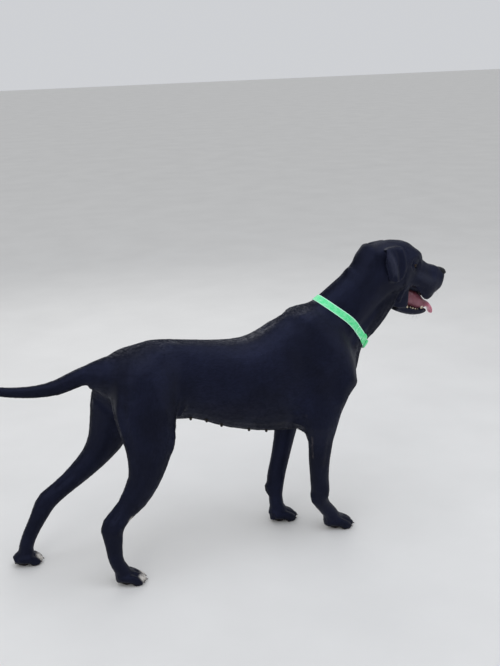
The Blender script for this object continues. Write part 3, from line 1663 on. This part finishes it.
@dataclass
class Collar:
    """A webbing band round the neck with its slide, buckle and the loose end of the strap."""

    centre: tuple = (893.0, 0.0, 694.0)
    axis: tuple = (0.73, 0.0, 0.683)
    width: float = 25.0
    thick: float = 2.4
    side_rise: float = 13.0
    slack: float = 1.0
    steps: int = 220
    # where the rays that feel the neck start, in metres from its middle
    clear: float = 0.4
    girth_radius: float = 95.0
    selvedge: float = 2.2

    def __post_init__(self) -> None:
        """Works out the collar's own directions."""
        self.way = np.array(self.axis) / np.linalg.norm(self.axis)
        self.up = UPWARD - self.way * self.way[2]
        self.up /= np.linalg.norm(self.up)
        self.side = np.cross(self.way, self.up)

    def ray(self, angle: float, offset: float) -> tuple[np.ndarray, np.ndarray]:
        """The ray from the neck's middle through one place on the band.

        Args:
            angle: from the nape towards the right side, in radians.
            offset: across the band from its middle, in millimetres.

        Returns:
            Its start in metres and its direction.
        """
        forward = self.side_rise * math.sin(angle) ** 2
        start = in_dog(np.array(self.centre) + self.way * (offset + forward))
        return start, self.up * math.cos(angle) + self.side * math.sin(angle)

    def profile(self, neck: BVHTree) -> np.ndarray:
        """Feels the neck all the way round.

        Args:
            neck: the search tree of the skin.

        Returns:
            For each angle, the smoothed distances from the middle at the band's two edges and between them.
        """
        rows = []
        for k in range(self.steps):
            angle = 2 * math.pi * k / self.steps
            row = []
            for edge in (-1, 0, 1):
                start, out = self.ray(angle, edge * self.width * 0.42)
                hit = neck.ray_cast(Vector(start + out * self.clear), Vector(-out), self.clear)
                row.append(self.clear - hit[3])
            rows.append(row)
        found = np.array(rows)
        for _ in range(12):
            found = 0.5 * found + 0.25 * (np.roll(found, 1, 0) + np.roll(found, -1, 0))
        return found

    def place(self, angle: float, offset: float, lift: float) -> np.ndarray:
        """A point on the band in metres.

        Args:
            angle: from the nape towards the right side, in radians.
            offset: across the band from its middle, in millimetres.
            lift: above the neck, in millimetres.

        Returns:
            The point.
        """
        start, out = self.ray(angle, offset)
        spot = (angle / (2 * math.pi) * self.steps) % self.steps
        i = int(spot) % self.steps
        row = self.neck[i] * (1 - spot % 1) + self.neck[(i + 1) % self.steps] * (spot % 1)
        share = np.clip(offset / (self.width * 0.42), -1.2, 1.2)
        reach = row[1] + (row[2] - row[0]) / 2 * share + ((row[2] + row[0]) / 2 - row[1]) * share ** 2
        return start + out * (reach + lift * MM)

    def section(self, half: float, thick: float, bulge: float) -> list[tuple[float, float]]:
        """The outline of a strip's cross section, with rounded edges.

        Args:
            half: half the width.
            thick: the thickness.
            bulge: how much thicker the middle is.

        Returns:
            Pairs of the place across and the height.
        """
        edge = thick * 0.45
        left = [(-half + edge * 0.1, 0.12 * thick), (-half, 0.5 * thick), (-half + edge * 0.3, 0.86 * thick),
                (-half + edge, thick)]
        inner = np.linspace(-half + edge, half - edge, 9)[1:-1]
        top = [(x, thick + bulge * (1 - (x / half) ** 2)) for x in inner]
        right = [(half - edge, thick), (half - edge * 0.3, 0.86 * thick), (half, 0.5 * thick),
                 (half - edge * 0.1, 0.12 * thick)]
        return left + top + right + [(half - edge, 0.0), (-half + edge, 0.0)]

    def strip(self, name: str, start: float, end: float, half: float, low: float, thick: float, steps: int,
              material: bpy.types.Material, closed: bool = False, rounding: float = 0.0,
              bulge: float = 0.0) -> bpy.types.Object:
        """A strip that follows the neck, with rounded edges and its own map in millimetres.

        Args:
            name: the piece's name.
            start: the first angle in degrees.
            end: the last angle in degrees.
            half: half the width.
            low: the height of its underside above the neck.
            thick: its thickness.
            steps: how many cross sections it has.
            material: its material.
            closed: whether it runs all the way round.
            rounding: how far the corners of an open strip are rounded.
            bulge: how much thicker its middle is.

        Returns:
            The object.
        """
        section = self.section(half, thick, bulge)
        count = len(section)
        points, weave, rim = [], [], []
        length = abs(math.radians(end - start)) * self.girth_radius
        for i in range(steps):
            t = i / (steps if closed else steps - 1)
            angle = math.radians(start + (end - start) * t)
            room = min(t, 1 - t) * length
            close = 1.0
            if rounding and room < rounding:
                close = 1 - (1 - math.sqrt(1 - (1 - room / rounding) ** 2)) * rounding / half
            for x, z in section:
                points.append(self.place(angle, x * close, low + z * (1 if close > 0.98 else 0.97)))
                weave.append((t * length, x))
                rim.append(float(abs(x) > half - self.selvedge))
        faces = []
        for i in range(steps if closed else steps - 1):
            j = (i + 1) % steps
            faces += [(i * count + k, j * count + k, j * count + (k + 1) % count, i * count + (k + 1) % count)
                      for k in range(count)]
        if not closed:
            faces.append(tuple(range(count)))
            faces.append(tuple((steps - 1) * count + k for k in reversed(range(count))))
        piece = new_object(name, np.array(points), faces, [material])
        work = bmesh.new()
        work.from_mesh(piece.data)
        bmesh.ops.recalc_face_normals(work, faces=work.faces)
        work.to_mesh(piece.data)
        work.free()
        chart = piece.data.uv_layers.new(name="weave")
        for loop in piece.data.loops:
            chart.data[loop.index].uv = weave[loop.vertex_index]
        set_attribute(piece.data, "rim", np.array(rim))
        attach(piece, BODY)
        return piece

    def build(self, finishes: Finishes, skin: bpy.types.Object) -> list[bpy.types.Object]:
        """Builds the band and what is on it.

        Args:
            finishes: all the materials.
            skin: the finished skin.

        Returns:
            The pieces.
        """
        self.neck = self.profile(tree_of(skin))
        low, top = self.slack, self.slack + self.thick
        webbing, acetal = finishes.webbing, finishes.acetal
        band = self.strip("band", 0, 360, self.width / 2, low, self.thick, self.steps, webbing, closed=True)
        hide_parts("collar_band")
        end = self.strip("strap_end", 112, 137, 12.2, top + 0.3, 2.2, 24, webbing, rounding=7)
        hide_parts("collar_strap_end")
        slide = self.strip("slide", 138, 149, 14.6, top + 0.2, 3.2, 10, acetal, rounding=3, bulge=0.6)
        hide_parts("collar_slide")
        buckle = self.strip("buckle", 158, 186, 13.6, top + 0.2, 5.2, 30, acetal, rounding=8, bulge=1.6)
        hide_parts("collar_buckle")
        return [band, end, slide, buckle]


# The coat that stands off the skin

@dataclass(frozen=True)
class Fringe:
    """A place where the coat breaks the form: a line with a radius, a density and a length of hair."""

    line: tuple
    radius: float
    density: float
    length: float
    head: bool = False
    mirrored: bool = True

    def share(self, points: np.ndarray) -> np.ndarray:
        """How strongly the fringe is felt at each point.

        Args:
            points: rows of points in metres.

        Returns:
            A share of 0 to 1 for each.
        """
        local = to_head(points) if self.head else to_dog(points)
        if self.mirrored:
            local = folded(local)
        return np.exp(-(distance_to_line(local, np.array(self.line, float)) / self.radius) ** 2)


FRINGES = (
    Fringe(((1010, 0, 890), (900, 0, 820), (800, 0, 750), (700, 0, 745)), 26, 1.4, 10),
    Fringe(((700, 0, 745), (450, 0, 704), (200, 0, 706), (110, 0, 668)), 26, 1.0, 9.5),
    Fringe(((915, 0, 640), (925, 0, 560), (900, 0, 480), (830, 0, 390)), 34, 1.6, 11),
    Fringe(((1040, 0, 700), (980, 0, 640), (930, 0, 590)), 30, 1.0, 9.5),
    Fringe(((800, 0, 365), (680, 0, 350), (500, 0, 392), (380, 0, 440)), 34, 1.5, 11),
    Fringe(((330, 96, 530), (300, 104, 480), (292, 108, 450)), 18, 1.5, 10),
    Fringe(((96, 60, 610), (90, 84, 540), (112, 100, 470), (120, 110, 420)), 26, 1.6, 11.5),
    Fringe(((60, 0, 600), (-60, 2, 588), (-180, 9, 600), (-330, 20, 668)), 16, 1.8, 12, mirrored=False),
    Fringe(((60, 0, 640), (-60, 2, 612), (-180, 9, 628), (-330, 20, 690)), 14, 1.0, 8, mirrored=False),
    Fringe(((716, 118, 436), (724, 112, 380), (740, 104, 300)), 16, 1.5, 8.5),
    Fringe(((-160, 88, -20), (-150, 90, -60), (-110, 86, -94), (-76, 84, -84), (-58, 84, -40)),
           9, 1.2, 5, True),
    Fringe(((-110, 66, -80), (-70, 60, -110), (-60, 50, -150)), 22, 0.8, 6, True),
    Fringe(((40, 40, -98), (80, 34, -112), (104, 18, -96)), 10, 0.8, 3.6, True),
    Fringe(((60, 0, -186), (0, 0, -190), (-80, 0, -176), (-150, 0, -160)), 24, 0.8, 6.5, True),
)


@dataclass(frozen=True)
class Region:
    """One piece of the coat: the courses that it covers, its tufts and their length and width."""

    name: str
    courses: tuple
    tufts: int
    length: float
    width: float


REGIONS = (
    Region("coat_head", ("muzzle", "skull", "jaw", "ear_right", "ear_left"), 44000, 3.4, 0.55),
    Region("coat_neck", ("neck", "chest"), 38000, 7.5, 0.95),
    Region("coat_trunk", ("trunk",), 47000, 8.5, 1.1),
    Region("coat_forelegs", ("foreleg_right", "foreleg_left"), 30000, 6.0, 0.85),
    Region("coat_hindlegs", ("hindleg_right", "hindleg_left", "tail"), 45000, 7.5, 0.95),
)


# A tuft's four points are the two sides of its root, its back and its tip.
TUFT_FACES = ((0, 3, 2), (1, 2, 3), (0, 2, 1), (0, 1, 3))


@dataclass
class Coat:
    """Tufts of short hair: thin wedges that lie along the coat and stand off only where it breaks."""

    lift: float = 0.045
    patch: float = 0.003
    toe_length: float = 3.6
    face_length: float = 2.2
    ear_length: float = 1.4
    swing: float = 0.12
    lean: float = 0.17
    tilt: float = 0.03

    def sample(self, skin: bpy.types.Object, courses: np.ndarray, lie: np.ndarray) -> None:
        """Reads the skin's triangles.

        Args:
            skin: the finished skin.
            courses: the number of each point's course.
            lie: the direction of the hair at each point.
        """
        mesh = skin.data
        mesh.calc_loop_triangles()
        self.corners = read_rows(mesh.loop_triangles, "vertices", 3, np.int32)
        owner = read_rows(mesh.loop_triangles, "polygon_index", 1, np.int32)[:, 0]
        kinds = read_rows(mesh.polygons, "material_index", 1, np.int32)[:, 0]
        self.points = points_of(mesh)
        self.normals = normals_of(mesh)
        self.lie = lie
        self.course = courses[self.corners[:, 0]]
        a, b, c = (self.points[self.corners[:, i]] for i in range(3))
        self.area = np.linalg.norm(np.cross(b - a, c - a), axis=1) / 2
        self.centre = (a + b + c) / 3
        self.bare = (kinds[owner] > 0) | self.is_bare(self.centre)

    def is_bare(self, points: np.ndarray) -> np.ndarray:
        """Finds where no tuft grows: lids, nose, lips' insides, soles and under the collar.

        Args:
            points: rows in metres.

        Returns:
            True or false for each point.
        """
        head, dog = to_head(points), to_dog(points)
        ahead, aside, above = head.T
        centre = np.array(EYE_CENTRE)
        bare = np.linalg.norm(folded(head) - centre, axis=1) < 17.5
        bare |= (ahead > 84) & (above > -36) & (np.abs(aside) < 24)
        bare |= dog[:, 2] < 9
        mouth = (ahead > -60) & (ahead < 104) & (np.abs(aside) < 27)
        bare |= mouth & (above < -84) & (above > -168)
        collar = Collar()
        away = (dog - np.array(collar.centre)) @ collar.way
        around = np.linalg.norm(dog - np.array(collar.centre), axis=1)
        sideways = np.abs(dog[:, 1]) / 80.0
        bare |= (around < 165) & (np.abs(away - collar.side_rise * np.clip(sideways, 0, 1) ** 2) < 15)
        return bare

    def growth(self, region: Region) -> tuple[np.ndarray, np.ndarray]:
        """Works out where a region's tufts grow and how long they are.

        Args:
            region: the region.

        Returns:
            The weight and the length of hair, in millimetres, of each triangle.
        """
        names = [course.name for course in COURSES]
        wanted = np.isin(self.course, [names.index(name) for name in region.courses]) & ~self.bare
        density = np.full(len(self.area), 1.0)
        length = np.full(len(self.area), region.length)
        for fringe in FRINGES:
            share = fringe.share(self.centre)
            density = density + fringe.density * share
            length = length + (fringe.length - length) * share
        height = to_dog(self.centre)[:, 2]
        ahead, aside, _ = to_head(self.centre).T
        toes = 1 - smoothstep(height, 50, 120)
        face = smoothstep(ahead, -60, 40) * (height > HEAD_LEVEL)
        ear = (np.abs(aside) > 60) & (ahead > -178) & (ahead < -54) & (height > HEAD_LEVEL)
        length = length + (self.toe_length - length) * toes
        length = length + (self.face_length - length) * face
        return self.area * density * wanted, np.where(ear, self.ear_length, length)

    def fill(self, mesh: bpy.types.Mesh, count: int) -> np.ndarray:
        """Gives each tuft its four triangles.

        Args:
            mesh: the mesh, with four points for each tuft.
            count: how many tufts there are.

        Returns:
            The point of each corner.
        """
        corners = (np.array(TUFT_FACES)[None] + 4 * np.arange(count)[:, None, None]).reshape(-1)
        mesh.loops.add(len(corners))
        mesh.polygons.add(len(corners) // 3)
        mesh.loops.foreach_set("vertex_index", corners.astype(np.int32))
        mesh.polygons.foreach_set("loop_start", np.arange(0, len(corners), 3, dtype=np.int32))
        mesh.polygons.foreach_set("use_smooth", np.ones(len(corners) // 3, bool))
        mesh.update(calc_edges=True)
        return corners

    def grow(self, region: Region, finishes: Finishes, rng: np.random.Generator) -> bpy.types.Object:
        """Grows the tufts of one region.

        Args:
            region: the region.
            finishes: all the materials.
            rng: the seeded source of variation.

        Returns:
            The piece.
        """
        count = region.tufts
        weight, length = self.growth(region)
        faces = rng.choice(len(weight), count, p=weight / weight.sum())
        share = rng.random((count, 2))
        flip = share.sum(1) > 1
        share[flip] = 1 - share[flip]
        mix = np.column_stack([1 - share.sum(1), share])[:, :, None]
        corner = self.corners[faces]
        root = (self.points[corner] * mix).sum(1)
        normal = (self.normals[corner] * mix).sum(1)
        normal /= np.linalg.norm(normal, axis=1)[:, None]
        lie = (self.lie[corner] * mix).sum(1)
        side = np.cross(normal, lie)
        side /= np.maximum(np.linalg.norm(side, axis=1), 1e-6)[:, None]
        lie = np.cross(side, normal)
        swing = rng.normal(0, self.swing, count)[:, None]
        lie, side = lie * np.cos(swing) + side * np.sin(swing), side * np.cos(swing) - lie * np.sin(swing)
        scale = length[faces] * rng.uniform(0.75, 1.2, count)
        long = (scale * MM)[:, None]
        width = region.width * (scale / region.length) ** 0.6
        wide = (width * rng.uniform(0.8, 1.25, count) * MM)[:, None]
        thick = wide * 0.22
        lift = (self.lift * rng.uniform(0.2, 1.9, count))[:, None]
        sunk = root - normal * 0.25 * MM
        points = np.stack([
            sunk - side * wide * 0.5, sunk + side * wide * 0.5,
            root + lie * long * 0.42 + normal * (thick + long * lift * 0.5),
            root + lie * long + normal * long * lift,
        ], 1).reshape(-1, 3)
        points[:, 2] = np.maximum(points[:, 2], 0.0004)
        piece = new_object(region.name, points, [], [finishes.coat])
        mesh = piece.data
        corners = self.fill(mesh, count)
        lean = np.array([-self.lean, self.lean, 0.0, 0.0])
        tilt = rng.normal(0, self.tilt, count)[:, None]
        shown = normal[:, None, :] + side[:, None, :] * lean[None, :, None] + (lie * tilt)[:, None, :]
        shown /= np.linalg.norm(shown, axis=2)[:, :, None]
        mesh.normals_split_custom_set_from_vertices(shown.reshape(-1, 3))
        for name, values in markings(root).items():
            set_attribute(mesh, name, np.repeat(values, 4))
        set_attribute(mesh, "tone", np.repeat(rng.random(count), 4))
        self.unwrap(mesh, region, self.course[faces], root, corners)
        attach(piece, BODY)
        return piece

    def unwrap(self, mesh: bpy.types.Mesh, region: Region, course: np.ndarray, root: np.ndarray,
               corners: np.ndarray) -> None:
        """Maps each tuft to a small patch at its root's place on the unrolled courses.

        Args:
            mesh: the tufts.
            region: their region.
            course: the number of each tuft's course.
            root: each tuft's root in metres.
            corners: the vertex of each corner.
        """
        names = [item.name for item in COURSES]
        places = np.zeros((len(root), 2))
        strip = 1 / len(region.courses)
        for k, name in enumerate(region.courses):
            here = course == names.index(name)
            line = COURSES[names.index(name)].points()
            steps = np.linalg.norm(np.diff(line, axis=0), axis=1)
            starts = np.concatenate([[0], np.cumsum(steps)])
            best = np.full(here.sum(), 1e9)
            along = np.zeros(here.sum())
            turn = np.zeros(here.sum())
            mine = root[here]
            for i, (a, b) in enumerate(zip(line[:-1], line[1:])):
                way = (b - a) / steps[i]
                t = (mine - a) @ way
                if i > 0:
                    t = np.maximum(t, 0)
                if i < len(steps) - 1:
                    t = np.minimum(t, steps[i])
                off = mine - a - t[:, None] * way
                away = np.linalg.norm(off, axis=1)
                up = np.array([0.0, 1.0, 0.0])
                up = up - way * (up @ way)
                up /= np.linalg.norm(up)
                nearer = away < best
                best = np.where(nearer, away, best)
                along = np.where(nearer, starts[i] + t, along)
                turn = np.where(nearer, np.arctan2(off @ np.cross(way, up), off @ up), turn)
            span = max(float(np.ptp(along)), 1e-6)
            places[here, 0] = 0.01 + 0.98 * (along - along.min()) / span
            places[here, 1] = strip * (k + 0.02 + 0.96 * (turn + math.pi) / (2 * math.pi))
        shape = np.array([[-0.5, -0.5], [0.5, -0.5], [0.0, 0.0], [0.0, 0.5]])
        patches = places[:, None, :] + shape[None] * self.patch
        chart = mesh.uv_layers.new(name="OFBake")
        chart.data.foreach_set("uv", patches.reshape(-1, 2)[corners].reshape(-1).astype(np.float32))

    def build(self, skin: bpy.types.Object, courses: np.ndarray, lie: np.ndarray,
              finishes: Finishes) -> list[bpy.types.Object]:
        """Builds every region.

        Args:
            skin: the finished skin.
            courses: the number of each point's course.
            lie: the direction of the hair at each point.
            finishes: all the materials.

        Returns:
            The pieces.
        """
        rng = np.random.default_rng(SEED)
        self.sample(skin, courses, lie)
        return [self.grow(region, finishes, rng) for region in REGIONS]


@dataclass
class Whiskers:
    """Stiff hairs on the lips, chin, cheeks and over the eyes."""

    radius: float = 0.22
    rows: tuple = (
        ((58, 40, -62), (96, 26, -58), 5, 30.0), ((50, 41, -72), (98, 25, -68), 5, 34.0),
        ((44, 41, -82), (96, 25, -80), 5, 30.0), ((-14, 36, 2), (-22, 38, 2), 3, 24.0),
        ((-50, 60, -70), (-54, 60, -78), 2, 26.0), ((60, 16, -178), (84, 10, -172), 3, 20.0),
    )

    def build(self, skin: bpy.types.Object, finishes: Finishes) -> bpy.types.Object:
        """Plants the whiskers on the skin.

        Args:
            skin: the finished skin.
            finishes: all the materials.

        Returns:
            The piece.
        """
        rng = np.random.default_rng(SEED + 1)
        tree = tree_of(skin)
        parts = []
        for first, last, count, length in self.rows:
            start, end = np.array(first, float), np.array(last, float)
            for s in (-1, 1):
                for i in range(count):
                    spot = start + (end - start) * i / max(count - 1, 1) + rng.normal(0, 1.4, 3)
                    found, normal, _, _ = tree.find_nearest(Vector(in_head(spot * np.array([1, s, 1]))))
                    base = to_head(np.array(found)[None])[0]
                    out = np.array(normal) @ HEAD_AXES.T
                    way = out * 0.9 + np.array([-0.5, 0.0, -0.25]) + rng.normal(0, 0.12, 3)
                    way /= np.linalg.norm(way)
                    size = length * rng.uniform(0.7, 1.15)
                    droop = np.array([-0.25, 0.0, -0.45]) * size
                    rows = []
                    for t in np.linspace(0, 1, 6):
                        point = base - out * 0.8 + way * size * t + droop * t ** 2
                        width = self.radius * (1 - 0.85 * t)
                        rows.append([*point, width, width, width])
                    parts.append(tube(rows, 9, 4, np.array([0.3, 0.1, 0.95])))
        points, faces = join_parts(parts)
        piece = new_object("whiskers", in_head(points), faces, [finishes.coat])
        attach(piece, BODY)
        return piece


@dataclass
class Teats:
    """Two rows of teats along the belly."""

    places: tuple = ((372, 34), (422, 38), (470, 38), (560, 40), (619, 38))
    radius: float = 4.6
    length: float = 9.0
    profile: tuple = (
        (-0.35, 1.7), (0.0, 1.25), (0.25, 1.0), (0.6, 0.92), (0.85, 0.72), (0.97, 0.4), (1, 0.1),
    )

    def build(self, skin: bpy.types.Object, finishes: Finishes) -> bpy.types.Object:
        """Sets each teat on the skin, pointing out and down.

        Args:
            skin: the finished skin.
            finishes: all the materials.

        Returns:
            The piece.
        """
        tree = tree_of(skin)
        parts = []
        for x, y in self.places:
            for s in (-1, 1):
                start = Vector(in_dog([x, s * y, 250]))
                found, normal, _, _ = tree.ray_cast(start, Vector((0, 0, 1)))
                base = to_dog(np.array(found)[None])[0]
                way = np.array(normal) * 0.4 + np.array([0, 0, -0.9])
                way /= np.linalg.norm(way)
                rows = []
                for t, w in self.profile:
                    rows.append([*(base + way * self.length * t), *([self.radius * w] * 3)])
                parts.append(tube(rows, 20, 16, FORWARD))
        points, faces = join_parts(parts)
        piece = new_object("teats", in_dog(points), faces, [finishes.pad])
        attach(piece, BODY)
        return piece


# The studio

@dataclass
class Studio:
    """A pale floor, soft lights and the camera that stands as the photograph's did."""

    camera: tuple = (-453.0, -2710.0, 1580.0)
    heading: tuple = (0.3426, 0.8926, -0.2932)
    roll: float = 1.52
    focal_pixels: float = 980.0
    sensor: float = 36.0
    floor_half: float = 30.0

    def build_floor(self, finishes: Finishes) -> None:
        """Lays the floor under the soles."""
        half = self.floor_half
        points = np.array([[-half, -half, 0], [half, -half, 0], [half, half, 0], [-half, half, 0]])
        floor = new_object("floor", points, [(0, 1, 2, 3)], [finishes.floor], smooth=False)

    def build_camera(self) -> None:
        """Sets the camera by its place, direction, roll and focal length in pixels."""
        data = bpy.data.cameras.new("camera")
        data.sensor_width = self.sensor
        data.lens = self.focal_pixels / IMAGE_LONG_SIDE * self.sensor
        data.clip_end = 100
        camera = bpy.data.objects.new("camera", data)
        bpy.context.scene.collection.objects.link(camera)
        view = Vector(self.heading).normalized()
        right = view.cross(Vector((0, 0, 1))).normalized()
        down = view.cross(right)
        a = math.radians(self.roll)
        x_axis = right * math.cos(a) + down * math.sin(a)
        y_axis = right * math.sin(a) - down * math.cos(a)
        turn = Matrix((x_axis, y_axis, -view)).transposed().to_4x4()
        camera.matrix_world = Matrix.Translation(Vector(in_dog(self.camera))) @ turn
        bpy.context.scene.camera = camera

    def build_light(self, name: str, place: tuple, size: tuple, power: float, colour: str) -> None:
        """Hangs one soft rectangular light that faces the dog.

        Args:
            name: the light's name.
            place: its middle in metres.
            size: its two sides in metres.
            power: its power in watts.
            colour: its hex colour.
        """
        data = bpy.data.lights.new(name, "AREA")
        data.shape = "RECTANGLE"
        data.size, data.size_y = size
        data.energy = power
        data.color = linear(colour)[:3]
        light = bpy.data.objects.new(name, data)
        light.location = place
        light.rotation_mode = "QUATERNION"
        light.rotation_quaternion = (Vector((0, 0, 0.45)) - Vector(place)).to_track_quat("-Z", "Y")
        bpy.context.scene.collection.objects.link(light)

    def build(self, finishes: Finishes) -> None:
        """Builds floor, lights and camera.

        Args:
            finishes: all the materials.
        """
        self.build_floor(finishes)
        self.build_camera()
        self.build_light("sky_panel", (0.2, -0.4, 3.4), (3.6, 2.6), 38, "#EEF3FF")
        self.build_light("key_panel", (-2.6, -2.6, 2.4), (1.8, 1.8), 20, "#FFFFFF")
        self.build_light("side_panel", (2.6, -2.2, 1.8), (1.6, 1.6), 10, "#F2F5FF")
        self.build_light("back_panel", (0.2, 3.0, 2.2), (2.4, 1.4), 16, "#FFFFFF")
        world = bpy.data.worlds.new("studio")
        world.use_nodes = True
        world.node_tree.nodes["Background"].inputs[0].default_value = linear("#E4E6EA")
        world.node_tree.nodes["Background"].inputs[1].default_value = 0.8
        bpy.context.scene.world = world
        bpy.context.scene.view_settings.view_transform = "Standard"


def main() -> None:
    """Builds the whole model in order."""
    logging.basicConfig(level=logging.INFO, format="%(message)s")
    Frame.load()
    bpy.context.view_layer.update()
    finishes = Finishes()
    studio = Studio()
    studio.build(finishes)
    LOG.info("studio built")
    eyes = [Eye(side) for side in Side]
    former = Skin()
    skin = former.build(finishes, eyes)
    LOG.info("skin built with %d points", len(skin.data.vertices))
    for eye in eyes:
        eye.build(finishes)
    Nose().build(finishes)
    Tongue().build(finishes)
    Teeth().build(finishes)
    Claws().build(finishes)
    LOG.info("head pieces and claws built")
    Collar().build(finishes, skin)
    LOG.info("collar built")
    Teats().build(skin, finishes)
    coat = Coat().build(skin, former.course, former.lie, finishes)
    Whiskers().build(skin, finishes)
    LOG.info("coat built with %d tufts", sum(len(piece.data.polygons) for piece in coat) // 4)


if __name__ == "__main__":
    main()
